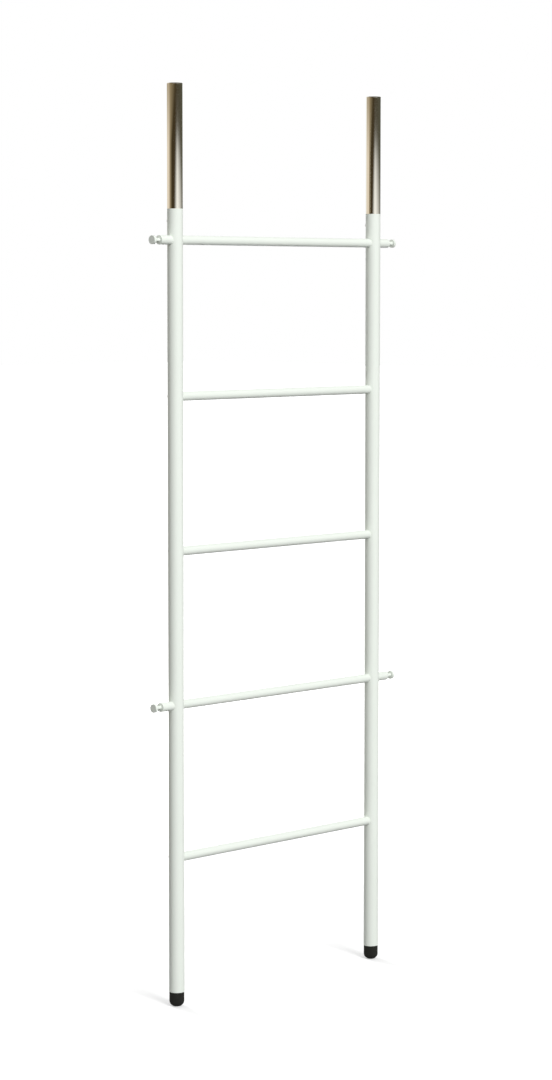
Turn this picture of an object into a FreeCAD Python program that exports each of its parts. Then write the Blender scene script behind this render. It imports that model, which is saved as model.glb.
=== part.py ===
# Leaning towel ladder: two round-tube uprights with polished tops, five rungs, four side pegs
# and two domed feet.
# Millimetres, +Z up, +X along the rungs to the right, +Y to the rear, where the wall is.
# The origin lies on the floor, midway between the two feet.

import FreeCAD
import Part
import Sketcher
import os
import re

# Driving dimensions: name, millimetres, meaning.
DIMENSIONS = (
    ("upright_spacing", 480.0, "between the axes of the two uprights"),
    ("tube_od", 25.4, "outside of the uprights and their polished tops, which are flush"),
    ("tube_wall", 1.5, "wall of the uprights and their polished tops"),
    ("bottom_rung_height", 246.0, "floor to the axis of the lowest rung"),
    ("rung_pitch", 251.0, "between the axes of neighbouring rungs"),
    ("joint_above_rung", 50.0, "axis of the top rung to the seam below the polished top"),
    ("top_tube_length", 198.0, "polished tube without its cap"),
    ("cap_thickness", 2.0, "head of the cap on the polished tube"),
    ("cap_edge_round", 0.8, "round on the cap's rim"),
    ("cap_stem_length", 12.0, "cap's stem inside the polished tube"),
    ("cap_clearance", 0.1, "cap's stem to the tube's bore, on the radius"),
    ("rung_od", 15.0, "outside of the rungs and of the flanges that close them"),
    ("rung_wall", 1.2, "wall of the rungs"),
    ("rung_hole_clearance", 0.15, "rung to its hole in the upright, on the radius"),
    ("rung_tip_clearance", 0.5, "end of a short rung to the far wall inside the upright"),
    ("peg_reach", 52.5, "axis of the upright to the outer face of a peg's end disc"),
    ("disc_thickness", 4.5, "end disc of a peg"),
    ("disc_inset", 0.4, "end disc inside the rung's outside, on the radius"),
    ("neck_length", 11.5, "narrow neck between the end disc and the flange"),
    ("neck_od", 6.0, "narrow neck of a peg"),
    ("neck_root_round", 0.4, "round where the neck meets the disc and the flange"),
    ("flange_thickness", 2.0, "flange that closes the rung's open end"),
    ("peg_edge_round", 0.4, "round on the rims of the end disc and the flange"),
    ("stem_gap", 10.0, "inner end of a peg's stem to the nut in the same rung"),
    ("stem_clearance", 0.05, "peg's stem to the rung's bore, on the radius"),
    ("stem_chamfer", 0.8, "lead-in on the stems of pegs and caps"),
    ("spigot_wall", 4.0, "wall of the sleeve that joins a polished top to its upright"),
    ("spigot_rise", 40.0, "length of that sleeve inside the polished top"),
    ("spigot_gap", 4.0, "lower end of that sleeve to the top rung"),
    ("spigot_clearance", 0.1, "sleeve to the bores of both tubes, on the radius"),
    ("foot_height", 24.0, "floor to the lower end of the upright's tube"),
    ("foot_inset", 0.4, "side of the foot inside the tube's outside, on the radius"),
    ("foot_dome", 9.5, "radius of the foot's rounded bottom"),
    ("foot_stem_length", 18.0, "foot's ribbed stem inside the tube"),
    ("foot_rib_depth", 0.8, "height of the ribs on that stem"),
    ("foot_clearance", 0.1, "ribs to the tube's bore, on the radius"),
    ("nut_length", 16.0, "nut inside a rung's end"),
    ("nut_clearance", 0.05, "nut to the rung's bore, on the radius"),
    ("nut_chamfer", 0.8, "chamfer on the nut's ends"),
    ("screw_od", 5.0, "thread of the rear screws"),
    ("screw_engagement", 9.6, "length of thread inside a nut"),
    ("screw_clearance", 0.25, "screw to its holes in the upright and the rung, on the radius"),
    ("thread_clearance", 0.05, "screw to its thread in the nut and the sleeve, on the radius"),
    ("screw_chamfer", 0.6, "chamfer on the screw's tip"),
    ("screw_head_od", 9.5, "button head"),
    ("screw_head_height", 2.75, "button head"),
    ("screw_head_round", 2.2, "round on the button head"),
    ("socket_flats", 3.0, "hexagon socket across its flats"),
    ("socket_depth", 1.6, "hexagon socket"),
)
NAMES = {name for name, number, meaning in DIMENSIONS}

# Counts. Rungs are numbered from the top.
RUNG_COUNT = 5
THROUGH_RUNGS = {"upper": 1, "lower": 4}
FOOT_RIBS = 3
HEXAGON_CORNERS = 6
SIDES = {"left": -1, "right": 1}

# Largest share of a solid wall that a round may take.
ROUND_SHARE = 0.85
# How closely an edge has to match the place and radius of a named rim.
RIM_TOLERANCE = 1e-6

# Axes and turns used to place pieces.
X_AXIS = FreeCAD.Vector(1, 0, 0)
Z_AXIS = FreeCAD.Vector(0, 0, 1)
HALF_TURN = 180
FACE_REAR = -90


def rung_height(rung):
    """Height of a rung's axis above the floor."""
    return f"(bottom_rung_height + {RUNG_COUNT - rung} * rung_pitch)"


# Sizes that follow from the driving dimensions.
TUBE_BORE = "(tube_od - 2 * tube_wall)"
RUNG_BORE = "(rung_od - 2 * rung_wall)"
RUNG_HOLE = "(rung_od + 2 * rung_hole_clearance)"
SCREW_HOLE = "(screw_od + 2 * screw_clearance)"
THREAD_HOLE = "(screw_od + 2 * thread_clearance)"
JOINT_HEIGHT = f"({rung_height(1)} + joint_above_rung)"
# The flat end of a short rung stops just short of the upright's curved far wall.
RUNG_TIP = f"(sqrt(({TUBE_BORE} / 2)^2 - (rung_od / 2)^2) - rung_tip_clearance)"
# A through rung ends where the peg's flange closes it.
PEG_SEAT = "(peg_reach - disc_thickness - neck_length - flange_thickness)"
NUT_TAIL = f"(nut_length - {RUNG_TIP})"
STEM_LENGTH = f"({PEG_SEAT} - {RUNG_TIP} - stem_gap)"
SPIGOT_DROP = "(joint_above_rung - rung_od / 2 - spigot_gap)"
SPIGOT_SCREW_HEIGHT = f"({JOINT_HEIGHT} - {SPIGOT_DROP} / 2)"
SCREW_LENGTH = f"(tube_od / 2 - {RUNG_BORE} / 2 + screw_engagement)"
SCREW_HEIGHTS = [rung_height(rung) for rung in range(1, RUNG_COUNT + 1)] + [SPIGOT_SCREW_HEIGHT]

doc = FreeCAD.newDocument("towel_ladder")
sheet = doc.addObject("Spreadsheet::Sheet", "Sizes")
for row, (name, number, meaning) in enumerate(DIMENSIONS, 1):
    sheet.set(f"A{row}", name)
    sheet.set(f"B{row}", str(number))
    sheet.setAlias(f"B{row}", name)
    sheet.set(f"C{row}", meaning)
doc.recompute()


def formula(text):
    """Turns plain size names into references to the sheet's cells."""
    return re.sub(r"[a-z_]+", lambda word: f"Sizes.{word[0]}" if word[0] in NAMES else word[0], text)


def bind(thing, property_name, text):
    """Ties a property to the sheet."""
    thing.setExpression(property_name, formula(text))


def new_body(label):
    body = doc.addObject("PartDesign::Body", label)
    body.Label = label
    return body


def sketch_on(body, plane, name):
    """Starts a sketch on one of the body's own origin planes."""
    sketch = body.newObject("Sketcher::SketchObject", f"{body.Name}_{name}")
    support = next(feature for feature in body.Origin.OriginFeatures if feature.Role == plane)
    sketch.AttachmentSupport = [(support, "")]
    sketch.MapMode = "FlatFace"
    return sketch


def hold_point(sketch, geometry, vertex, across, up):
    """Fixes a point of the sketch at two sizes, or on an axis where a size is 0."""
    for axis, kind, text in ((-2, "DistanceX", across), (-1, "DistanceY", up)):
        if text == "0":
            sketch.addConstraint(Sketcher.Constraint("PointOnObject", geometry, vertex, axis))
            continue
        number = sketch.evalExpression(formula(text))
        index = sketch.addConstraint(Sketcher.Constraint(kind, -1, 1, geometry, vertex, number))
        bind(sketch, f"Constraints[{index}]", text)


def point_at(sketch, across, up):
    return FreeCAD.Vector(sketch.evalExpression(formula(across)), sketch.evalExpression(formula(up)), 0)


def add_circle(sketch, diameter, across="0", up="0"):
    number = sketch.evalExpression(formula(diameter))
    circle = sketch.addGeometry(Part.Circle(point_at(sketch, across, up), Z_AXIS, number / 2))
    hold_point(sketch, circle, 3, across, up)
    index = sketch.addConstraint(Sketcher.Constraint("Diameter", circle, number))
    bind(sketch, f"Constraints[{index}]", diameter)
    return circle


def add_outline(sketch, corners):
    """Draws a closed outline of straight edges, each corner held by its own sizes."""
    points = [point_at(sketch, across, up) for across, up in corners]
    count = len(points)
    for index in range(count):
        sketch.addGeometry(Part.LineSegment(points[index], points[(index + 1) % count]))
    for index in range(count):
        sketch.addConstraint(Sketcher.Constraint("Coincident", index, 2, (index + 1) % count, 1))
    for index, (across, up) in enumerate(corners):
        hold_point(sketch, index, 1, across, up)


def add_hexagon(sketch, flats):
    """Draws a hexagon round the origin, with one corner on the across axis."""
    corner = f"({flats} / sqrt(3))"
    circle = add_circle(sketch, f"2 * {corner}")
    sketch.setConstruction(circle, True)
    radius = sketch.evalExpression(formula(corner))
    sixth = FreeCAD.Rotation(Z_AXIS, 360 / HEXAGON_CORNERS)
    points = [FreeCAD.Vector(radius, 0, 0)]
    for _ in range(HEXAGON_CORNERS - 1):
        points.append(sixth.multVec(points[-1]))
    first = circle + 1
    for index in range(HEXAGON_CORNERS):
        sketch.addGeometry(Part.LineSegment(points[index], points[(index + 1) % HEXAGON_CORNERS]))
    for index in range(HEXAGON_CORNERS):
        following = first + (index + 1) % HEXAGON_CORNERS
        sketch.addConstraint(Sketcher.Constraint("Coincident", first + index, 2, following, 1))
        sketch.addConstraint(Sketcher.Constraint("PointOnObject", first + index, 1, circle))
    for index in range(1, HEXAGON_CORNERS):
        sketch.addConstraint(Sketcher.Constraint("Equal", first, first + index))
    sketch.addConstraint(Sketcher.Constraint("PointOnObject", first, 1, -1))


def pad(body, sketch, length, both_ways=False):
    feature = body.newObject("PartDesign::Pad", f"{sketch.Name}_pad")
    feature.Profile = sketch
    if both_ways:
        feature.SideType = "Symmetric"
    bind(feature, "Length", length)
    doc.recompute()


def cut(body, sketch, depth, flip=False, both_ways=False):
    """Pockets the sketch, and stops if that takes nothing away."""
    volume = body.Shape.Volume
    feature = body.newObject("PartDesign::Pocket", f"{sketch.Name}_cut")
    feature.Profile = sketch
    feature.Reversed = flip
    if both_ways:
        feature.SideType = "Symmetric"
    bind(feature, "Length", depth)
    doc.recompute()
    if body.Shape.Volume >= volume:
        raise RuntimeError(f"{feature.Name} cuts nothing")


def turn(body, sketch, axis):
    """Turns the sketch once round one of its own axes."""
    feature = body.newObject("PartDesign::Revolution", f"{sketch.Name}_turn")
    feature.Profile = sketch
    feature.ReferenceAxis = (sketch, [axis])
    doc.recompute()


def round_rims(body, name, axis, rims, radius):
    """Rounds the circular edges at the given places along an axis, each with its own edge radius."""
    base = body.Tip
    wanted = [[base.evalExpression(formula(text)) for text in rim] for rim in rims]
    names = []
    for index, edge in enumerate(base.Shape.Edges, 1):
        if not isinstance(edge.Curve, Part.Circle):
            continue
        place = edge.Curve.Center.dot(axis)
        for along, edge_radius in wanted:
            if max(abs(place - along), abs(edge.Curve.Radius - edge_radius)) < RIM_TOLERANCE:
                names.append(f"Edge{index}")
    feature = body.newObject("PartDesign::Fillet", f"{body.Name}_{name}")
    feature.Base = (base, names)
    bind(feature, "Radius", radius)
    doc.recompute()


def place(body, across="0", back="0", height="0", turned=None):
    """Puts a body at its sizes, after a turn given as an axis and degrees."""
    if turned:
        body.Placement = FreeCAD.Placement(FreeCAD.Vector(), FreeCAD.Rotation(*turned))
    for letter, text in (("x", across), ("y", back), ("z", height)):
        bind(body, f"Placement.Base.{letter}", text)


def upright_axis(side):
    return f"({SIDES[side]} * upright_spacing / 2)"


def round_tube(label, outside, bore, length):
    """Upright length of tube, standing on its own origin."""
    body = new_body(label)
    section = sketch_on(body, "XY_Plane", "section")
    add_circle(section, outside)
    add_circle(section, bore)
    pad(body, section, length)
    return body


def upright_tube(side):
    """White tube from the foot to the seam, with rung holes and rear screw holes."""
    body = round_tube(f"upright_tube_{side}", "tube_od", TUBE_BORE, f"{JOINT_HEIGHT} - foot_height")
    inner_holes = sketch_on(body, "YZ_Plane", "inner_holes")
    through_holes = sketch_on(body, "YZ_Plane", "through_holes")
    for rung in range(1, RUNG_COUNT + 1):
        holes = through_holes if rung in THROUGH_RUNGS.values() else inner_holes
        add_circle(holes, RUNG_HOLE, "0", f"{rung_height(rung)} - foot_height")
    cut(body, inner_holes, "tube_od", flip=SIDES[side] < 0)
    cut(body, through_holes, "2 * tube_od", both_ways=True)
    screw_holes = sketch_on(body, "XZ_Plane", "screw_holes")
    for height in SCREW_HEIGHTS:
        add_circle(screw_holes, SCREW_HOLE, "0", f"{height} - foot_height")
    cut(body, screw_holes, "tube_od")
    place(body, upright_axis(side), height="foot_height")
    return body


def top_tube(side):
    """Polished tube above the seam."""
    body = round_tube(f"top_tube_{side}", "tube_od", TUBE_BORE, "top_tube_length")
    place(body, upright_axis(side), height=JOINT_HEIGHT)
    return body


def top_spigot(side):
    """Sleeve inside both tubes at the seam, tapped for one rear screw."""
    outside = f"({TUBE_BORE} - 2 * spigot_clearance)"
    length = f"{SPIGOT_DROP} + spigot_rise"
    body = round_tube(f"top_spigot_{side}", outside, f"{outside} - 2 * spigot_wall", length)
    screw_hole = sketch_on(body, "XZ_Plane", "screw_hole")
    add_circle(screw_hole, THREAD_HOLE, "0", f"{SPIGOT_DROP} / 2")
    cut(body, screw_hole, "tube_od")
    place(body, upright_axis(side), height=f"{JOINT_HEIGHT} - {SPIGOT_DROP}")
    return body


def top_cap(side):
    """Flat plug that closes the polished tube, with its head flush with the tube's outside."""
    body = new_body(f"top_cap_{side}")
    stem = f"({TUBE_BORE} / 2 - cap_clearance)"
    outline = sketch_on(body, "XZ_Plane", "outline")
    add_outline(outline, (
        ("0", "cap_thickness"),
        ("tube_od / 2", "cap_thickness"),
        ("tube_od / 2", "0"),
        (stem, "0"),
        (stem, "-cap_stem_length + stem_chamfer"),
        (f"{stem} - stem_chamfer", "-cap_stem_length"),
        ("0", "-cap_stem_length"),
    ))
    turn(body, outline, "V_Axis")
    rim = [("cap_thickness", "tube_od / 2")]
    round_rims(body, "rim", Z_AXIS, rim, f"min(cap_edge_round; {ROUND_SHARE} * cap_thickness)")
    place(body, upright_axis(side), height=f"{JOINT_HEIGHT} + top_tube_length")
    return body


def foot(side):
    """Domed foot with a ribbed stem pressed up into the tube."""
    body = new_body(f"foot_{side}")
    outside = "(tube_od / 2 - foot_inset)"
    rib = f"({TUBE_BORE} / 2 - foot_clearance)"
    core = f"({rib} - foot_rib_depth)"
    corners = [("0", "0"), (outside, "0"), (outside, "foot_height"), (core, "foot_height")]
    for index in range(FOOT_RIBS):
        # Each rib is flat below and tapers in above, over half of its share of the stem.
        below = f"foot_height + foot_stem_length * {2 * index + 1} / {2 * FOOT_RIBS}"
        above = f"foot_height + foot_stem_length * {2 * index + 2} / {2 * FOOT_RIBS}"
        corners += [(core, below), (rib, below), (core, above)]
    corners.append(("0", "foot_height + foot_stem_length"))
    outline = sketch_on(body, "XZ_Plane", "outline")
    add_outline(outline, corners)
    turn(body, outline, "V_Axis")
    round_rims(body, "dome", Z_AXIS, [("0", outside)], f"min(foot_dome; {ROUND_SHARE} * {outside})")
    place(body, upright_axis(side))
    return body


def rung(number):
    """White tube across the ladder, with a rear screw hole at each upright."""
    body = new_body(f"rung_{number}")
    end = PEG_SEAT if number in THROUGH_RUNGS.values() else RUNG_TIP
    section = sketch_on(body, "YZ_Plane", "section")
    add_circle(section, "rung_od")
    add_circle(section, RUNG_BORE)
    pad(body, section, f"upright_spacing + 2 * {end}", both_ways=True)
    screw_holes = sketch_on(body, "XZ_Plane", "screw_holes")
    for side in SIDES:
        add_circle(screw_holes, SCREW_HOLE, upright_axis(side))
    cut(body, screw_holes, "rung_od")
    place(body, height=rung_height(number))
    return body


def peg_end(level, side):
    """Turned end of a peg: stem in the rung, flange over its end, narrow neck and end disc."""
    body = new_body(f"peg_end_{level}_{side}")
    stem = f"({RUNG_BORE} / 2 - stem_clearance)"
    flange = "(rung_od / 2)"
    disc = "(rung_od / 2 - disc_inset)"
    disc_inside = "(flange_thickness + neck_length)"
    disc_outside = f"({disc_inside} + disc_thickness)"
    outline = sketch_on(body, "XZ_Plane", "outline")
    add_outline(outline, (
        (f"-{STEM_LENGTH}", "0"),
        (f"-{STEM_LENGTH}", f"{stem} - stem_chamfer"),
        (f"-{STEM_LENGTH} + stem_chamfer", stem),
        ("0", stem),
        ("0", flange),
        ("flange_thickness", flange),
        ("flange_thickness", "neck_od / 2"),
        (disc_inside, "neck_od / 2"),
        (disc_inside, disc),
        (disc_outside, disc),
        (disc_outside, "0"),
    ))
    turn(body, outline, "H_Axis")
    roots = [("flange_thickness", "neck_od / 2"), (disc_inside, "neck_od / 2")]
    round_rims(body, "roots", X_AXIS, roots, "neck_root_round")
    rims = [("flange_thickness", flange), (disc_inside, disc), (disc_outside, disc)]
    round_rims(body, "rims", X_AXIS, rims, "peg_edge_round")
    turned = (Z_AXIS, HALF_TURN) if SIDES[side] < 0 else None
    seat = f"{SIDES[side]} * (upright_spacing / 2 + {PEG_SEAT})"
    place(body, seat, height=rung_height(THROUGH_RUNGS[level]), turned=turned)
    return body


def rung_nut(number, side):
    """Slug in a rung's end, cross-tapped on the upright's axis."""
    body = new_body(f"nut_{number}_{side}")
    outside = f"({RUNG_BORE} / 2 - nut_clearance)"
    outline = sketch_on(body, "XZ_Plane", "outline")
    add_outline(outline, (
        (f"-{NUT_TAIL}", "0"),
        (f"-{NUT_TAIL}", f"{outside} - nut_chamfer"),
        (f"-{NUT_TAIL} + nut_chamfer", outside),
        (f"{RUNG_TIP} - nut_chamfer", outside),
        (RUNG_TIP, f"{outside} - nut_chamfer"),
        (RUNG_TIP, "0"),
    ))
    turn(body, outline, "H_Axis")
    thread = sketch_on(body, "XZ_Plane", "thread")
    add_circle(thread, THREAD_HOLE)
    cut(body, thread, "2 * rung_od", both_ways=True)
    turned = (Z_AXIS, HALF_TURN) if SIDES[side] < 0 else None
    place(body, upright_axis(side), height=rung_height(number), turned=turned)
    return body


def rear_screw(number, side, height):
    """Button-head screw with a hexagon socket, its head on the rear of the upright."""
    body = new_body(f"screw_{number}_{side}")
    head = "(screw_head_od / 2)"
    shank = "(screw_od / 2)"
    outline = sketch_on(body, "XZ_Plane", "outline")
    add_outline(outline, (
        ("0", "screw_head_height"),
        (head, "screw_head_height"),
        (head, "0"),
        (shank, "0"),
        (shank, f"-{SCREW_LENGTH} + screw_chamfer"),
        (f"{shank} - screw_chamfer", f"-{SCREW_LENGTH}"),
        ("0", f"-{SCREW_LENGTH}"),
    ))
    turn(body, outline, "V_Axis")
    rim = [("screw_head_height", head)]
    round_rims(body, "rim", Z_AXIS, rim, f"min(screw_head_round; {ROUND_SHARE} * screw_head_height)")
    socket = sketch_on(body, "XY_Plane", "socket")
    bind(socket, "AttachmentOffset.Base.z", "screw_head_height")
    add_hexagon(socket, "socket_flats")
    cut(body, socket, "socket_depth")
    place(body, upright_axis(side), "tube_od / 2", height, turned=(X_AXIS, FACE_REAR))
    return body


def group(label, bodies):
    """Identical fasteners of one side, kept as separate solids."""
    compound = doc.addObject("Part::Compound", label)
    compound.Label = label
    compound.Links = bodies
    return compound


pieces = [rung(number) for number in range(1, RUNG_COUNT + 1)]
for side in SIDES:
    pieces += [upright_tube(side), top_tube(side), top_spigot(side), top_cap(side), foot(side)]
    pieces += [peg_end(level, side) for level in THROUGH_RUNGS]
    nuts = [rung_nut(number, side) for number in range(1, RUNG_COUNT + 1)]
    screws = [rear_screw(number, side, height) for number, height in enumerate(SCREW_HEIGHTS, 1)]
    pieces += [group(f"rung_nuts_{side}", nuts), group(f"rear_screws_{side}", screws)]
doc.recompute()

for thing in doc.Objects:
    if "Invalid" in thing.State or "Error" in thing.State:
        raise RuntimeError(f"{thing.Label} failed: {thing.State}")
for piece in pieces:
    if piece.Shape.isNull() or not piece.Shape.isValid():
        raise RuntimeError(f"{piece.Label} has no valid shape")

os.makedirs("parts", exist_ok=True)
for piece in pieces:
    piece.Shape.exportStep(f"parts/{piece.Label}.step")
    print(f"{piece.Label}: {len(piece.Shape.Solids)} solid(s), {piece.Shape.Volume:.1f} mm3")
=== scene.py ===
# Leaning towel ladder: two white round tubes with polished tops, five rungs, four side pegs and black feet.
# Metres in the part's own frame: +Z up, +X along the rungs, +Y to the rear, where it leans on a wall.

import math

import bpy
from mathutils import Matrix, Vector


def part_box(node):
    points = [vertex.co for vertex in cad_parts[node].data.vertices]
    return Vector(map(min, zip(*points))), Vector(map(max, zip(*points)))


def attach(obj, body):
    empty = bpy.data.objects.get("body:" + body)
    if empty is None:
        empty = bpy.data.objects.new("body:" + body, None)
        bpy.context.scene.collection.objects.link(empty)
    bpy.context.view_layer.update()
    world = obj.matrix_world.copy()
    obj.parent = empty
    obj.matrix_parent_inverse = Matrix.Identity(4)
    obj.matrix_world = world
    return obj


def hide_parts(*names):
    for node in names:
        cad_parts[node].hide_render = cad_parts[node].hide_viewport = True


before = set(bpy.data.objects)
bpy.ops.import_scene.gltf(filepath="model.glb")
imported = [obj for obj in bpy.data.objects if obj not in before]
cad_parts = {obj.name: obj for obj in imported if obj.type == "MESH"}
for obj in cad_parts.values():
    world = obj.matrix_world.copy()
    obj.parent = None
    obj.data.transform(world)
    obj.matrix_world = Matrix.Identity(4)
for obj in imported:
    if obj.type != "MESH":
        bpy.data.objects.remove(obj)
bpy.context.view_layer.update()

MM = 0.001
SIDES = {"left": -1, "right": 1}
RUNGS = (1, 2, 3, 4, 5)
THROUGH_RUNGS = {"upper": 1, "lower": 4}
BODY = "root"

# Sides of the round pieces.
TUBE_SIDES = 128
RUNG_SIDES = 96
SCREW_SIDES = 48
HEXAGON_SIDES = 6
# Steps round the bevelled rims.
FINE_BREAK_STEPS = 2
BREAK_STEPS = 3
ROUND_STEPS = 6
SCREW_HEAD_STEPS = 8
FOOT_DOME_STEPS = 16
# Points closer than this are one point.
WELD = 1e-6
SMOOTH_ANGLE = math.radians(30)

# Tubes.
TUBE_WALL = 1.5 * MM
TUBE_RIM_BREAK = 0.25 * MM
# Break on the rims of the polished tubes, the seats of their caps and the rungs.
FINE_RIM_BREAK = 0.125 * MM
RUNG_WALL = 1.2 * MM
RUNG_HOLE_CLEARANCE = 0.15 * MM
# Rings this far above and below each hole keep the shading of the long tube even.
HOLE_BAND = 9 * MM
# Drills for the screw holes, which go through one wall alone.
TUBE_DRILL_LENGTH = 3 * TUBE_WALL
RUNG_DRILL_LENGTH = 4 * RUNG_WALL

# Polished tops.
CAP_THICKNESS = 2 * MM
CAP_RIM_ROUND = 0.8 * MM
CAP_STEM_CLEARANCE = 0.1 * MM

# Feet.
FOOT_HEIGHT = 24 * MM
FOOT_DOME = 9.5 * MM
FOOT_RIB_DEPTH = 0.8 * MM
FOOT_RIBS = 3
FOOT_RIM_BREAK = 0.4 * MM

# Peg ends.
FLANGE_THICKNESS = 2 * MM
FLANGE_RADIUS = 7.5 * MM
NECK_RADIUS = 3 * MM
NECK_LENGTH = 11.5 * MM
DISC_RADIUS = 7.1 * MM
DISC_THICKNESS = 4.5 * MM
STEM_RADIUS = 6.25 * MM
STEM_LEAD_IN = 0.8 * MM
PEG_EDGE_ROUND = 0.4 * MM
NECK_ROOT_ROUND = 0.4 * MM

# Rear screws.
SCREW_RADIUS = 2.5 * MM
SCREW_HOLE_RADIUS = 2.75 * MM
SCREW_LENGTH = 16 * MM
SCREW_TIP_CHAMFER = 0.6 * MM
SCREW_HEAD_RADIUS = 4.75 * MM
SCREW_HEAD_HEIGHT = 2.75 * MM
SCREW_HEAD_ROUND = 2.2 * MM
SCREW_SOCKET_FLATS = 3 * MM
SCREW_SOCKET_DEPTH = 1.6 * MM
SPIGOT_SCREW_BELOW_SEAM = 19.25 * MM

# Finishes.
COAT_IOR = 1.5
COAT_DRIFT = 90 * MM
PEEL_CELL = 2 * MM
PEEL_DEPTH = 0.03 * MM
BUFFING_PITCH = 0.4 * MM
BUFFING_LENGTH = 20 * MM
BUFFING_DEPTH = 0.01 * MM
RUBBER_IOR = 1.52
RUBBER_SHEEN = 0.1
RUBBER_BLOOM = 6 * MM
RUBBER_GRAIN = 0.5 * MM
RUBBER_GRAIN_DEPTH = 0.04 * MM
ZINC_MOTTLE = 1.5 * MM


def deselect():
    bpy.ops.object.select_all(action="DESELECT")


def make_active(piece):
    deselect()
    piece.select_set(True)
    bpy.context.view_layer.objects.active = piece


def select_edges(piece, wanted):
    """Leaves only the edges picked by their two ends selected, and the piece in edit mode."""
    make_active(piece)
    bpy.ops.object.mode_set(mode="EDIT")
    bpy.ops.mesh.select_mode(type="EDGE")
    bpy.ops.mesh.select_all(action="DESELECT")
    bpy.ops.object.mode_set(mode="OBJECT")
    points = piece.data.vertices
    for edge in piece.data.edges:
        edge.select = wanted(*[points[index].co for index in edge.vertices])
    bpy.ops.object.mode_set(mode="EDIT")


def turn_piece(name, stations, sides, hollow=False):
    """Extrudes and resizes a ring from station to station (radius, height) up the Z axis.

    A hollow piece's stations go up its outside and down its bore, and its last ring meets the first."""
    deselect()
    radius, height = stations[0]
    bpy.ops.mesh.primitive_circle_add(vertices=sides, radius=radius, location=(0, 0, height))
    piece = bpy.context.object
    piece.name = piece.data.name = name
    bpy.ops.object.transform_apply()
    bpy.ops.object.mode_set(mode="EDIT")
    bpy.ops.mesh.select_all(action="SELECT")
    route = stations[1:] + stations[:1] if hollow else stations[1:]
    for next_radius, next_height in route:
        bpy.ops.mesh.extrude_region_move(TRANSFORM_OT_translate={"value": (0, 0, next_height - height)})
        share = next_radius / radius
        bpy.ops.transform.resize(value=(share, share, 1), center_override=(0, 0, next_height))
        radius, height = next_radius, next_height
    bpy.ops.mesh.select_all(action="SELECT")
    bpy.ops.mesh.remove_doubles(threshold=WELD)
    bpy.ops.mesh.fill_holes(sides=0)
    bpy.ops.mesh.select_all(action="SELECT")
    bpy.ops.mesh.normals_make_consistent(inside=False)
    bpy.ops.object.mode_set(mode="OBJECT")
    return piece


def round_rims(piece, rims, radius, segments):
    """Bevels whole rings, given as (radius, height) on a piece that still stands on the Z axis."""

    def on_a_rim(one, other):
        for rim, height in rims:
            if all(abs(math.hypot(p.x, p.y) - rim) < WELD and abs(p.z - height) < WELD for p in (one, other)):
                return True
        return False

    select_edges(piece, on_a_rim)
    bpy.ops.mesh.bevel(offset=radius, segments=segments, affect="EDGES")
    bpy.ops.object.mode_set(mode="OBJECT")


def put(piece, place, turned=(0, 0, 0)):
    """Turns and moves a piece, and keeps its place in its mesh."""
    make_active(piece)
    piece.rotation_euler = turned
    piece.location = place
    bpy.ops.object.transform_apply()


def drill(piece, holes, sides):
    """Cuts round holes, each given as (radius, length, centre, turn)."""
    deselect()
    drills = []
    for radius, length, centre, turned in holes:
        bpy.ops.mesh.primitive_cylinder_add(
            vertices=sides, radius=radius, depth=length, location=centre, rotation=turned)
        drills.append(bpy.context.object)
    deselect()
    for drill_bit in drills:
        drill_bit.select_set(True)
    bpy.context.view_layer.objects.active = drills[0]
    bpy.ops.object.join()
    cutter = bpy.context.object
    make_active(piece)
    cut = piece.modifiers.new("holes", "BOOLEAN")
    cut.object = cutter
    cut.solver = "EXACT"
    bpy.ops.object.modifier_apply(modifier=cut.name)
    bpy.data.objects.remove(cutter)


def finish_piece(piece, node, material):
    make_active(piece)
    bpy.ops.object.shade_smooth_by_angle(angle=SMOOTH_ANGLE)
    # Large faces lead the shading, so that a long tube shades and mirrors as a straight one up to its rims.
    shading = piece.modifiers.new("shading", "WEIGHTED_NORMAL")
    shading.keep_sharp = True
    bpy.ops.object.modifier_apply(modifier=shading.name)
    piece.data.materials.clear()
    piece.data.materials.append(material)
    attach(piece, BODY)
    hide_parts(node)


def linear(code):
    """Turns an sRGB hex colour into a linear one."""
    shares = [int(code[index:index + 2], 16) / 255 for index in (1, 3, 5)]
    return [s / 12.92 if s <= 0.04045 else ((s + 0.055) / 1.055) ** 2.4 for s in shares] + [1]


def add_node(tree, kind, inputs, **settings):
    """Adds a node with its settings, and with each input linked or set."""
    node = tree.nodes.new(kind)
    for key, value in settings.items():
        setattr(node, key, value)
    for key, value in inputs.items():
        if isinstance(value, bpy.types.NodeSocket):
            tree.links.new(value, node.inputs[key])
        else:
            node.inputs[key].default_value = value
    return node


def new_material(name):
    material = bpy.data.materials.new(name)
    material.use_nodes = True
    tree = material.node_tree
    return material, tree, tree.nodes["Principled BSDF"]


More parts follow.
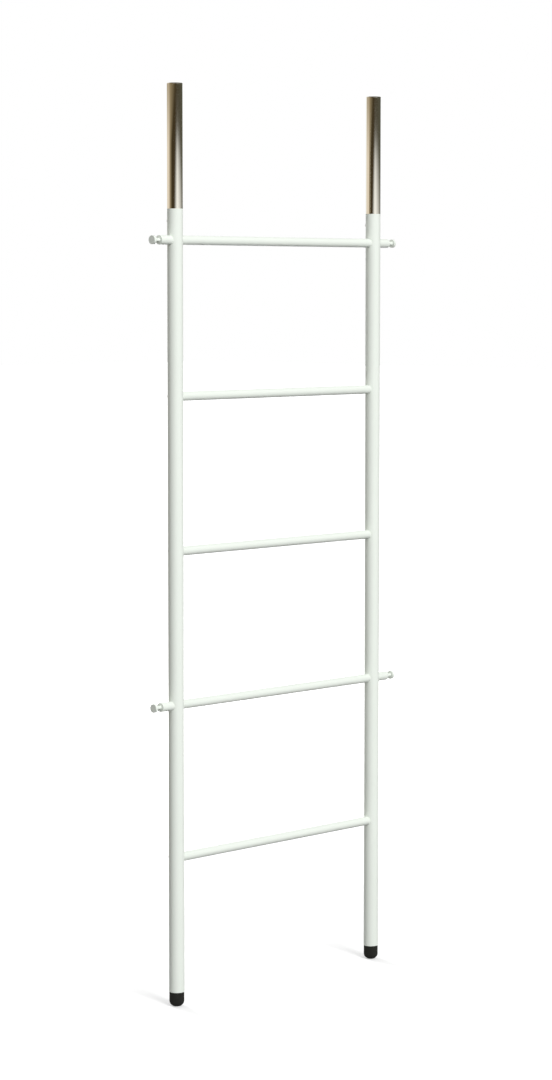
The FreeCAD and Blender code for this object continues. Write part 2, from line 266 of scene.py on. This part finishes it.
def white_powder_coat():
    """Polyester powder coat baked on steel: satin white, with a faint orange peel and slow drifts in tone."""
    material, tree, shader = new_material("white powder coat")
    shader.inputs["IOR"].default_value = COAT_IOR
    place = add_node(tree, "ShaderNodeTexCoord", {}).outputs["Object"]
    drift = add_node(tree, "ShaderNodeTexNoise", {"Vector": place, "Scale": 1 / COAT_DRIFT, "Detail": 2})
    tone = add_node(tree, "ShaderNodeMix", {
        "Factor": drift.outputs["Fac"], "A": linear("#ecf2ea"), "B": linear("#eff5ed")}, data_type="RGBA")
    tree.links.new(tone.outputs["Result"], shader.inputs["Base Color"])
    # The orange peel varies the gloss and dimples the coat.
    peel = add_node(tree, "ShaderNodeTexNoise", {
        "Vector": place, "Scale": 1 / PEEL_CELL, "Detail": 1, "Roughness": 0.4})
    gloss = add_node(tree, "ShaderNodeMapRange", {
        "Value": peel.outputs["Fac"], "To Min": 0.4, "To Max": 0.48})
    tree.links.new(gloss.outputs["Result"], shader.inputs["Roughness"])
    relief = add_node(tree, "ShaderNodeBump", {
        "Height": peel.outputs["Fac"], "Strength": 0.6, "Distance": PEEL_DEPTH})
    tree.links.new(relief.outputs["Normal"], shader.inputs["Normal"])
    return material


def polished_nickel():
    """Nickel plate buffed to a mirror: a warm metal, with faint buffing lines round the tube."""
    material, tree, shader = new_material("polished nickel plate")
    shader.inputs["Metallic"].default_value = 1
    shader.inputs["Base Color"].default_value = linear("#ece8dc")
    place = add_node(tree, "ShaderNodeTexCoord", {}).outputs["Object"]
    # The buffing lines are close together up the tube, and long round it.
    squeeze = BUFFING_PITCH / BUFFING_LENGTH
    along = add_node(tree, "ShaderNodeMapping", {"Vector": place, "Scale": (squeeze, squeeze, 1)})
    lines = add_node(tree, "ShaderNodeTexNoise", {
        "Vector": along.outputs["Vector"], "Scale": 1 / BUFFING_PITCH, "Detail": 2})
    gloss = add_node(tree, "ShaderNodeMapRange", {
        "Value": lines.outputs["Fac"], "To Min": 0.05, "To Max": 0.11})
    tree.links.new(gloss.outputs["Result"], shader.inputs["Roughness"])
    relief = add_node(tree, "ShaderNodeBump", {
        "Height": lines.outputs["Fac"], "Strength": 0.15, "Distance": BUFFING_DEPTH})
    tree.links.new(relief.outputs["Normal"], shader.inputs["Normal"])
    return material


def black_rubber():
    """Moulded black rubber: matt, with a fine mould grain and a slight bloom in its colour."""
    material, tree, shader = new_material("moulded black rubber")
    shader.inputs["IOR"].default_value = RUBBER_IOR
    shader.inputs["Specular IOR Level"].default_value = RUBBER_SHEEN
    place = add_node(tree, "ShaderNodeTexCoord", {}).outputs["Object"]
    bloom = add_node(tree, "ShaderNodeTexNoise", {"Vector": place, "Scale": 1 / RUBBER_BLOOM, "Detail": 3})
    tone = add_node(tree, "ShaderNodeMix", {
        "Factor": bloom.outputs["Fac"], "A": linear("#21211f"), "B": linear("#2d2d2a")}, data_type="RGBA")
    tree.links.new(tone.outputs["Result"], shader.inputs["Base Color"])
    grain = add_node(tree, "ShaderNodeTexNoise", {"Vector": place, "Scale": 1 / RUBBER_GRAIN, "Detail": 2})
    gloss = add_node(tree, "ShaderNodeMapRange", {
        "Value": grain.outputs["Fac"], "To Min": 0.6, "To Max": 0.8})
    tree.links.new(gloss.outputs["Result"], shader.inputs["Roughness"])
    relief = add_node(tree, "ShaderNodeBump", {
        "Height": grain.outputs["Fac"], "Strength": 0.4, "Distance": RUBBER_GRAIN_DEPTH})
    tree.links.new(relief.outputs["Normal"], shader.inputs["Normal"])
    return material


def zinc_plate():
    """Bright zinc plate on steel: a cool satin metal with fine mottling."""
    material, tree, shader = new_material("bright zinc plate")
    shader.inputs["Metallic"].default_value = 1
    place = add_node(tree, "ShaderNodeTexCoord", {}).outputs["Object"]
    mottle = add_node(tree, "ShaderNodeTexNoise", {"Vector": place, "Scale": 1 / ZINC_MOTTLE, "Detail": 3})
    tone = add_node(tree, "ShaderNodeMix", {
        "Factor": mottle.outputs["Fac"], "A": linear("#b4b8bc"), "B": linear("#ccd0d2")}, data_type="RGBA")
    tree.links.new(tone.outputs["Result"], shader.inputs["Base Color"])
    gloss = add_node(tree, "ShaderNodeMapRange", {
        "Value": mottle.outputs["Fac"], "To Min": 0.22, "To Max": 0.36})
    tree.links.new(gloss.outputs["Result"], shader.inputs["Roughness"])
    return material


paint = white_powder_coat()
nickel = polished_nickel()
rubber = black_rubber()
zinc = zinc_plate()

ALONG_X = (0, math.pi / 2, 0)
AGAINST_X = (0, -math.pi / 2, 0)
ALONG_Y = (-math.pi / 2, 0, 0)


def middle(node):
    low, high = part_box(node)
    return (low + high) / 2


def rung_radius():
    low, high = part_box("rung_1")
    return (high.z - low.z) / 2


def upright_tube(side):
    """White tube from the foot to the seam, drilled for the rungs and the rear screws."""
    node = f"upright_tube_{side}"
    low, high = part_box(node)
    axis = Vector((middle(node).x, middle(f"top_tube_{side}").y, 0))
    outside = (high.x - low.x) / 2
    bore = outside - TUBE_WALL
    rung_heights = [middle(f"rung_{rung}").z for rung in RUNGS]
    screw_heights = rung_heights + [high.z - SPIGOT_SCREW_BELOW_SEAM]
    bands = sorted(height + way * HOLE_BAND for height in screw_heights for way in (-1, 1))
    stations = [(outside, low.z)] + [(outside, height) for height in bands] + [(outside, high.z)]
    stations += [(bore, high.z)] + [(bore, height) for height in reversed(bands)] + [(bore, low.z)]
    piece = turn_piece(node.replace("_tube", ""), stations, TUBE_SIDES, hollow=True)
    round_rims(piece, [(outside, low.z), (outside, high.z)], TUBE_RIM_BREAK, BREAK_STEPS)
    # A through rung passes both walls, and a short one the inner wall alone.
    across_both = 4 * outside
    across_one = 2 * outside
    holes = []
    for rung, height in zip(RUNGS, rung_heights):
        through = rung in THROUGH_RUNGS.values()
        reach = across_both if through else across_one
        centre = (0 if through else -SIDES[side] * outside, 0, height)
        holes.append((rung_radius() + RUNG_HOLE_CLEARANCE, reach, centre, ALONG_X))
    rear_wall = (outside + bore) / 2
    for height in screw_heights:
        holes.append((SCREW_HOLE_RADIUS, TUBE_DRILL_LENGTH, (0, rear_wall, height), ALONG_Y))
    drill(piece, holes, RUNG_SIDES)
    put(piece, axis)
    finish_piece(piece, node, paint)


def top_tube(side):
    """Polished tube above the seam."""
    node = f"top_tube_{side}"
    low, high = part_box(node)
    outside = (high.x - low.x) / 2
    bore = outside - TUBE_WALL
    stations = [(outside, low.z), (outside, high.z), (bore, high.z), (bore, low.z)]
    piece = turn_piece(f"polished_top_{side}", stations, TUBE_SIDES, hollow=True)
    round_rims(piece, [(outside, low.z), (outside, high.z)], FINE_RIM_BREAK, FINE_BREAK_STEPS)
    put(piece, (middle(node).x, middle(node).y, 0))
    finish_piece(piece, node, nickel)


def top_cap(side):
    """Flat plug on the polished tube, its head flush with the tube's outside."""
    node = f"top_cap_{side}"
    low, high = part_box(node)
    outside = (high.x - low.x) / 2
    stem = outside - TUBE_WALL - CAP_STEM_CLEARANCE
    seat = high.z - CAP_THICKNESS
    stations = [
        (stem - STEM_LEAD_IN, low.z),
        (stem, low.z + STEM_LEAD_IN),
        (stem, seat),
        (outside, seat),
        (outside, high.z),
    ]
    piece = turn_piece(f"polished_cap_{side}", stations, TUBE_SIDES)
    round_rims(piece, [(outside, high.z)], CAP_RIM_ROUND, ROUND_STEPS)
    round_rims(piece, [(outside, seat)], FINE_RIM_BREAK, FINE_BREAK_STEPS)
    put(piece, (middle(node).x, middle(node).y, 0))
    finish_piece(piece, node, nickel)


def foot(side):
    """Domed foot with a ribbed stem up inside the tube."""
    node = f"foot_{side}"
    low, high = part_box(node)
    outside = (high.x - low.x) / 2
    tube_low, tube_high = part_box(f"top_tube_{side}")
    rib = (tube_high.x - tube_low.x) / 2 - TUBE_WALL - CAP_STEM_CLEARANCE
    core = rib - FOOT_RIB_DEPTH
    step = (high.z - FOOT_HEIGHT) / (2 * FOOT_RIBS)
    stations = [(outside, low.z), (outside, FOOT_HEIGHT), (core, FOOT_HEIGHT)]
    for index in range(FOOT_RIBS):
        below = FOOT_HEIGHT + (2 * index + 1) * step
        stations += [(core, below), (rib, below), (core, below + step)]
    piece = turn_piece(node, stations, TUBE_SIDES)
    round_rims(piece, [(outside, low.z)], FOOT_DOME, FOOT_DOME_STEPS)
    round_rims(piece, [(outside, FOOT_HEIGHT)], FOOT_RIM_BREAK, BREAK_STEPS)
    put(piece, (middle(node).x, middle(node).y, 0))
    finish_piece(piece, node, rubber)


def rung_tube(rung):
    """White tube across the ladder, drilled at the rear for its two screws."""
    node = f"rung_{rung}"
    low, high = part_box(node)
    half = (high.x - low.x) / 2
    outside = rung_radius()
    bore = outside - RUNG_WALL
    stations = [(outside, -half), (outside, half), (bore, half), (bore, -half)]
    piece = turn_piece(node, stations, RUNG_SIDES, hollow=True)
    round_rims(piece, [(outside, -half), (outside, half)], FINE_RIM_BREAK, FINE_BREAK_STEPS)
    put(piece, (0, 0, 0), ALONG_X)
    holes = []
    for side in SIDES:
        across = middle(f"top_tube_{side}").x
        holes.append((SCREW_HOLE_RADIUS, RUNG_DRILL_LENGTH, (across, outside, 0), ALONG_Y))
    drill(piece, holes, SCREW_SIDES)
    put(piece, middle(node))
    finish_piece(piece, node, paint)


def peg_end(level, side):
    """Turned peg end: a stem in the rung, a flange over its end, a narrow neck and an end disc."""
    node = f"peg_end_{level}_{side}"
    low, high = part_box(node)
    stem = (high.x - low.x) - FLANGE_THICKNESS - NECK_LENGTH - DISC_THICKNESS
    neck_start = FLANGE_THICKNESS
    neck_end = neck_start + NECK_LENGTH
    face = neck_end + DISC_THICKNESS
    stations = [
        (STEM_RADIUS - STEM_LEAD_IN, -stem),
        (STEM_RADIUS, STEM_LEAD_IN - stem),
        (STEM_RADIUS, 0),
        (FLANGE_RADIUS, 0),
        (FLANGE_RADIUS, neck_start),
        (NECK_RADIUS, neck_start),
        (NECK_RADIUS, neck_end),
        (DISC_RADIUS, neck_end),
        (DISC_RADIUS, face),
    ]
    piece = turn_piece(node, stations, RUNG_SIDES)
    roots = [(NECK_RADIUS, neck_start), (NECK_RADIUS, neck_end)]
    round_rims(piece, roots, NECK_ROOT_ROUND, ROUND_STEPS)
    rims = [(FLANGE_RADIUS, neck_start), (DISC_RADIUS, neck_end), (DISC_RADIUS, face)]
    round_rims(piece, rims, PEG_EDGE_ROUND, ROUND_STEPS)
    place = middle(node)
    place.x = high.x - face if SIDES[side] > 0 else low.x + face
    put(piece, place, ALONG_X if SIDES[side] > 0 else AGAINST_X)
    finish_piece(piece, node, paint)


def rear_screw():
    """Button-head screw with a hexagon socket, its head's seat at the origin and its head up."""
    stations = [
        (SCREW_RADIUS - SCREW_TIP_CHAMFER, -SCREW_LENGTH),
        (SCREW_RADIUS, SCREW_TIP_CHAMFER - SCREW_LENGTH),
        (SCREW_RADIUS, 0),
        (SCREW_HEAD_RADIUS, 0),
        (SCREW_HEAD_RADIUS, SCREW_HEAD_HEIGHT),
    ]
    piece = turn_piece("rear_screw", stations, SCREW_SIDES)
    round_rims(piece, [(SCREW_HEAD_RADIUS, SCREW_HEAD_HEIGHT)], SCREW_HEAD_ROUND, SCREW_HEAD_STEPS)
    corner = SCREW_SOCKET_FLATS / math.sqrt(3)
    # The drill's middle lies on the head's top, so that its lower half cuts the socket.
    socket = (corner, 2 * SCREW_SOCKET_DEPTH, (0, 0, SCREW_HEAD_HEIGHT), (0, 0, 0))
    drill(piece, [socket], HEXAGON_SIDES)
    return piece


def rear_screws(side, pattern):
    """Six copies of the screw on the rear of an upright, one at each rung and one at the sleeve."""
    node = f"rear_screws_{side}"
    low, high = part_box(f"top_tube_{side}")
    heights = [middle(f"rung_{rung}").z for rung in RUNGS] + [low.z - SPIGOT_SCREW_BELOW_SEAM]
    copies = []
    for height in heights:
        screw = pattern.copy()
        screw.data = pattern.data.copy()
        bpy.context.collection.objects.link(screw)
        put(screw, (middle(f"top_tube_{side}").x, high.y, height), ALONG_Y)
        copies.append(screw)
    deselect()
    for screw in copies:
        screw.select_set(True)
    bpy.context.view_layer.objects.active = copies[0]
    bpy.ops.object.join()
    piece = bpy.context.object
    piece.name = piece.data.name = node
    finish_piece(piece, node, zinc)


for rung in RUNGS:
    rung_tube(rung)
screw_pattern = rear_screw()
for side in SIDES:
    upright_tube(side)
    top_tube(side)
    top_cap(side)
    foot(side)
    rear_screws(side, screw_pattern)
    for level in THROUGH_RUNGS:
        peg_end(level, side)
    # The sleeves and nuts stay as they are, hidden inside the tubes.
    for hidden in (f"top_spigot_{side}", f"rung_nuts_{side}"):
        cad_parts[hidden].data.materials.clear()
        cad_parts[hidden].data.materials.append(zinc)
bpy.data.objects.remove(screw_pattern)

# Camera, fitted to the edges of the ladder in the photograph.
CAMERA_PLACE = (-3.6460, -3.4281, 1.1753)
CAMERA_PAN = math.radians(46.7375)
CAMERA_TILT = math.radians(-4.834)
CAMERA_ROLL = math.radians(-0.024)
CAMERA_LENS = 99.80
LEVEL_LOOK = math.pi / 2

camera_data = bpy.data.cameras.new("camera")
camera_data.lens = CAMERA_LENS
camera = bpy.data.objects.new("camera", camera_data)
camera.location = CAMERA_PLACE
camera.rotation_euler = (LEVEL_LOOK + CAMERA_TILT, CAMERA_ROLL, -CAMERA_PAN)
bpy.context.collection.objects.link(camera)
bpy.context.scene.camera = camera

# Directions on the floor, from the ladder: towards the camera, and to the right as the camera sees it.
TO_CAMERA = Vector((-math.sin(CAMERA_PAN), -math.cos(CAMERA_PAN), 0))
TO_RIGHT = Vector((math.cos(CAMERA_PAN), -math.sin(CAMERA_PAN), 0))

# Soft boxes: name, degrees round the ladder, distance, height, aimed height, width, height of the box, watts.
SOFT_BOXES = (
    ("key soft box", 31, 9.0, 5.2, 0.7, 3.6, 4.0, 840),
    ("rear soft box", -145, 4.5, 2.6, 0.8, 2.0, 2.4, 130),
)
STUDIO_GREY = (0.46, 0.46, 0.46, 1)
STUDIO_WHITE = (1, 1, 1, 1)

# Screens that reflections alone show. Their ends and edges are degrees round the ladder, as above.
SCREEN_SIDES = 180
ROOM_RADIUS = 3.2
ROOM_HEIGHT = 4.5
ROOM_ENDS = (-90, 165)
ROOM_GREYING = (4, 142)
# The ceiling turns from pale to dark within this distance of the ladder.
CEILING_TURN = 0.4
WALL_RADIUS = 0.9
WALL_HEIGHT = 1.65
WALL_ENDS = (-140, 12)
# Between these two heights the wall's edge moves in and the wall gets fainter.
WALL_RISE = (1.436, 1.562)
WALL_EDGE = (-41, 8)
WALL_STRENGTH = (1, 0.65)
WALL_CREAM = -83.5
WALL_TAN_STOP = 0.51
CARD_RADIUS = 3.1
CARD_HEIGHT = 1.7
CARD_ENDS = (-24, 164)
CARD_MIDDLE = 32
CARD_EDGES = (-20, 171)
# Heights between which the card narrows to a point, and between which it fades out.
CARD_TAPER = (1.266, 1.725)
CARD_TAPER_POWER = 1.83
CARD_FADE = (1.52, 1.61)
CARD_STRENGTH = 1.12

# Floor: its glow grows over these distances from the ladder.
FLOOR_SIZE = 60
FLOOR_GLOW_REACH = (0.6, 2.5)
FLOOR_GLOW = (0.3, 1.0)


def around(degrees, distance, height):
    """A point round the ladder: 0 degrees is towards the camera, and positive is to the right."""
    angle = math.radians(degrees)
    return distance * (math.cos(angle) * TO_CAMERA + math.sin(angle) * TO_RIGHT) + Vector((0, 0, height))


def soft_box(name, place, target, width, height, watts):
    """Rectangular studio lamp aimed at a point."""
    data = bpy.data.lights.new(name, "AREA")
    data.shape = "RECTANGLE"
    data.size = width
    data.size_y = height
    data.energy = watts
    lamp = bpy.data.objects.new(name, data)
    lamp.location = place
    lamp.rotation_euler = (Vector(target) - Vector(place)).to_track_quat("-Z", "Y").to_euler()
    lamp.visible_glossy = False
    bpy.context.collection.objects.link(lamp)


def seen_share(tree):
    """1 where the camera, a mirror or glass looks at the surface, and 0 where it only lights others."""
    rays = add_node(tree, "ShaderNodeLightPath", {})
    seen = add_node(tree, "ShaderNodeMath", {
        0: rays.outputs["Is Camera Ray"], 1: rays.outputs["Is Glossy Ray"]}, operation="ADD")
    seen = add_node(tree, "ShaderNodeMath", {
        0: seen.outputs["Value"], 1: rays.outputs["Is Transmission Ray"]}, operation="ADD", use_clamp=True)
    return seen.outputs["Value"]


def white_studio():
    """World: an even studio grey for light, and white where the camera or a mirror sees it."""
    world = bpy.data.worlds.new("white studio")
    world.use_nodes = True
    bpy.context.scene.world = world
    tree = world.node_tree
    tree.nodes.clear()
    grey = add_node(tree, "ShaderNodeBackground", {"Color": STUDIO_GREY})
    white = add_node(tree, "ShaderNodeBackground", {"Color": STUDIO_WHITE})
    sky = add_node(tree, "ShaderNodeMixShader", {
        0: seen_share(tree), 1: grey.outputs["Background"], 2: white.outputs["Background"]})
    add_node(tree, "ShaderNodeOutputWorld", {"Surface": sky.outputs["Shader"]})


def mirrors_only(screen):
    """Makes a screen that reflections alone show, and gives it a bare material."""
    screen.visible_camera = False
    screen.visible_diffuse = False
    screen.visible_shadow = False
    screen.visible_transmission = False
    material, tree, shader = new_material(screen.name)
    tree.nodes.remove(shader)
    screen.data.materials.append(material)
    return tree


def studio_screen(name, radius, ends, height):
    """Upright curved screen on the floor round the ladder, from one angle to another."""
    deselect()
    bpy.ops.mesh.primitive_circle_add(vertices=SCREEN_SIDES, radius=radius)
    screen = bpy.context.object
    screen.name = name
    bpy.ops.object.mode_set(mode="EDIT")
    bpy.ops.mesh.select_mode(type="EDGE")
    bpy.ops.mesh.select_all(action="SELECT")
    bpy.ops.mesh.extrude_region_move(TRANSFORM_OT_translate={"value": (0, 0, height)})
    bpy.ops.mesh.select_mode(type="FACE")
    bpy.ops.mesh.select_all(action="DESELECT")
    bpy.ops.object.mode_set(mode="OBJECT")
    first, last = ends
    for face in screen.data.polygons:
        flat = Vector((face.center.x, face.center.y, 0))
        degrees = math.degrees(math.atan2(flat.dot(TO_RIGHT), flat.dot(TO_CAMERA)))
        face.select = not first < degrees < last
    bpy.ops.object.mode_set(mode="EDIT")
    bpy.ops.mesh.delete(type="FACE")
    bpy.ops.object.mode_set(mode="OBJECT")
    return screen


def screen_place(tree):
    """Degrees round the ladder and height above the floor of a place on a screen."""
    place = add_node(tree, "ShaderNodeTexCoord", {}).outputs["Object"]
    right = add_node(tree, "ShaderNodeVectorMath", {0: place, 1: TO_RIGHT}, operation="DOT_PRODUCT")
    front = add_node(tree, "ShaderNodeVectorMath", {0: place, 1: TO_CAMERA}, operation="DOT_PRODUCT")
    angle = add_node(tree, "ShaderNodeMath", {
        0: right.outputs["Value"], 1: front.outputs["Value"]}, operation="ARCTAN2")
    degrees = add_node(tree, "ShaderNodeMath", {0: angle.outputs["Value"]}, operation="DEGREES")
    split = add_node(tree, "ShaderNodeSeparateXYZ", {"Vector": place})
    return degrees.outputs["Value"], split.outputs["Z"]


def light_up(tree, colour, strength=1, cover=None):
    """Makes a screen glow, and leaves it clear where its cover is 0."""
    glow = add_node(tree, "ShaderNodeEmission", {"Color": colour, "Strength": strength})
    surface = glow.outputs["Emission"]
    if cover is not None:
        clear = add_node(tree, "ShaderNodeBsdfTransparent", {})
        blend = add_node(tree, "ShaderNodeMixShader", {0: cover, 1: clear.outputs["BSDF"], 2: surface})
        surface = blend.outputs["Shader"]
    tree.links.new(surface, tree.nodes["Material Output"].inputs["Surface"])


def dark_room():
    """Dark brown room round the front of the ladder, a little greyer at the right."""
    tree = mirrors_only(studio_screen("dark room", ROOM_RADIUS, ROOM_ENDS, ROOM_HEIGHT))
    degrees = screen_place(tree)[0]
    greyer = add_node(tree, "ShaderNodeMapRange", {
        "Value": degrees, "From Min": ROOM_GREYING[0], "From Max": ROOM_GREYING[1]})
    tone = add_node(tree, "ShaderNodeMix", {
        "Factor": greyer.outputs["Result"], "A": linear("#423825"), "B": linear("#5b5b50")}, data_type="RGBA")
    light_up(tree, tone.outputs["Result"])


def ceiling():
    """Ceiling over the room, dark above the camera's side and paler towards the rear."""
    deselect()
    bpy.ops.mesh.primitive_circle_add(
        vertices=SCREEN_SIDES, radius=ROOM_RADIUS, fill_type="NGON", location=(0, 0, ROOM_HEIGHT))
    bpy.ops.object.transform_apply()
    screen = bpy.context.object
    screen.name = "ceiling"
    tree = mirrors_only(screen)
    place = add_node(tree, "ShaderNodeTexCoord", {}).outputs["Object"]
    front = add_node(tree, "ShaderNodeVectorMath", {0: place, 1: TO_CAMERA}, operation="DOT_PRODUCT")
    darker = add_node(tree, "ShaderNodeMapRange", {
        "Value": front.outputs["Value"], "From Min": -CEILING_TURN, "From Max": CEILING_TURN})
    tone = add_node(tree, "ShaderNodeMix", {
        "Factor": darker.outputs["Result"], "A": linear("#a8a49a"), "B": linear("#3f3c2c")}, data_type="RGBA")
    light_up(tree, tone.outputs["Result"])


def tan_wall():
    """Nearer wall at the left, clear at its edge, then tan, then cream further round."""
    tree = mirrors_only(studio_screen("tan wall", WALL_RADIUS, WALL_ENDS, WALL_HEIGHT))
    degrees, height = screen_place(tree)
    low, high = WALL_RISE
    edge = add_node(tree, "ShaderNodeMapRange", {
        "Value": height, "From Min": low, "From Max": high, "To Min": WALL_EDGE[0], "To Max": WALL_EDGE[1]})
    further = add_node(tree, "ShaderNodeMapRange", {
        "Value": degrees, "From Min": edge.outputs["Result"], "From Max": WALL_CREAM})
    fainter = add_node(tree, "ShaderNodeMapRange", {
        "Value": height, "From Min": low, "From Max": high,
        "To Min": WALL_STRENGTH[0], "To Max": WALL_STRENGTH[1]})
    share = add_node(tree, "ShaderNodeMath", {
        0: further.outputs["Result"], 1: fainter.outputs["Result"]}, operation="MULTIPLY")
    tone = add_node(tree, "ShaderNodeValToRGB", {"Fac": share.outputs["Value"]})
    stops = tone.color_ramp.elements
    stops[0].color = linear("#998a6e")[:3] + [0]
    stops[1].color = linear("#f0e4d4")
    stops.new(WALL_TAN_STOP).color = linear("#998a6e")
    light_up(tree, tone.outputs["Color"], cover=tone.outputs["Alpha"])


def white_card():
    """White card at the right with soft edges, which tapers and fades out as high as the polished tubes."""
    tree = mirrors_only(studio_screen("white card", CARD_RADIUS, CARD_ENDS, CARD_HEIGHT))
    degrees, height = screen_place(tree)
    inner, outer = [add_node(tree, "ShaderNodeMapRange", {
        "Value": degrees, "From Min": CARD_MIDDLE, "From Max": edge}) for edge in CARD_EDGES]
    across = add_node(tree, "ShaderNodeMath", {
        0: inner.outputs["Result"], 1: outer.outputs["Result"]}, operation="MAXIMUM")
    rise = add_node(tree, "ShaderNodeMapRange", {
        "Value": height, "From Min": CARD_TAPER[0], "From Max": CARD_TAPER[1]})
    rise = add_node(tree, "ShaderNodeMath", {
        0: rise.outputs["Result"], 1: CARD_TAPER_POWER}, operation="POWER")
    reach = add_node(tree, "ShaderNodeMath", {
        0: across.outputs["Value"], 1: rise.outputs["Value"]}, operation="ADD")
    taper = add_node(tree, "ShaderNodeMapRange", {
        "Value": reach.outputs["Value"], "To Min": 1, "To Max": 0}, interpolation_type="SMOOTHSTEP")
    fade = add_node(tree, "ShaderNodeMapRange", {
        "Value": height, "From Min": CARD_FADE[0], "From Max": CARD_FADE[1],
        "To Min": 1, "To Max": 0}, interpolation_type="SMOOTHSTEP")
    cover = add_node(tree, "ShaderNodeMath", {
        0: taper.outputs["Result"], 1: fade.outputs["Result"]}, operation="MULTIPLY")
    light_up(tree, linear("#fdfefe"), CARD_STRENGTH, cover.outputs["Value"])


def studio_floor():
    """Pale floor, lit to white for the camera, and darker only where the ladder shades it."""
    deselect()
    bpy.ops.mesh.primitive_plane_add(size=FLOOR_SIZE)
    floor = bpy.context.object
    floor.name = "floor"
    material, tree, shader = new_material("pale studio floor")
    shader.inputs["Roughness"].default_value = 1
    shader.inputs["Specular IOR Level"].default_value = 0
    # It throws only a little light back up at the undersides of the rungs.
    thrown = add_node(tree, "ShaderNodeLightPath", {}).outputs["Is Diffuse Ray"]
    tone = add_node(tree, "ShaderNodeMix", {
        "Factor": thrown, "A": linear("#e6e6e6"), "B": linear("#484848")}, data_type="RGBA")
    tree.links.new(tone.outputs["Result"], shader.inputs["Base Color"])
    # The glow makes up for the lamps' light, which falls off away from the ladder.
    place = add_node(tree, "ShaderNodeTexCoord", {}).outputs["Object"]
    away = add_node(tree, "ShaderNodeVectorMath", {0: place}, operation="LENGTH")
    level = add_node(tree, "ShaderNodeMapRange", {
        "Value": away.outputs["Value"], "From Min": FLOOR_GLOW_REACH[0], "From Max": FLOOR_GLOW_REACH[1],
        "To Min": FLOOR_GLOW[0], "To Max": FLOOR_GLOW[1]})
    glow = add_node(tree, "ShaderNodeMath", {
        0: seen_share(tree), 1: level.outputs["Result"]}, operation="MULTIPLY")
    shader.inputs["Emission Color"].default_value = STUDIO_WHITE
    tree.links.new(glow.outputs["Value"], shader.inputs["Emission Strength"])
    floor.data.materials.append(material)


for name, degrees, distance, height, aim, box_width, box_height, watts in SOFT_BOXES:
    soft_box(name, around(degrees, distance, height), (0, 0, aim), box_width, box_height, watts)
white_studio()
dark_room()
ceiling()
tan_wall()
white_card()
studio_floor()

bpy.context.scene.view_settings.view_transform = "Standard"
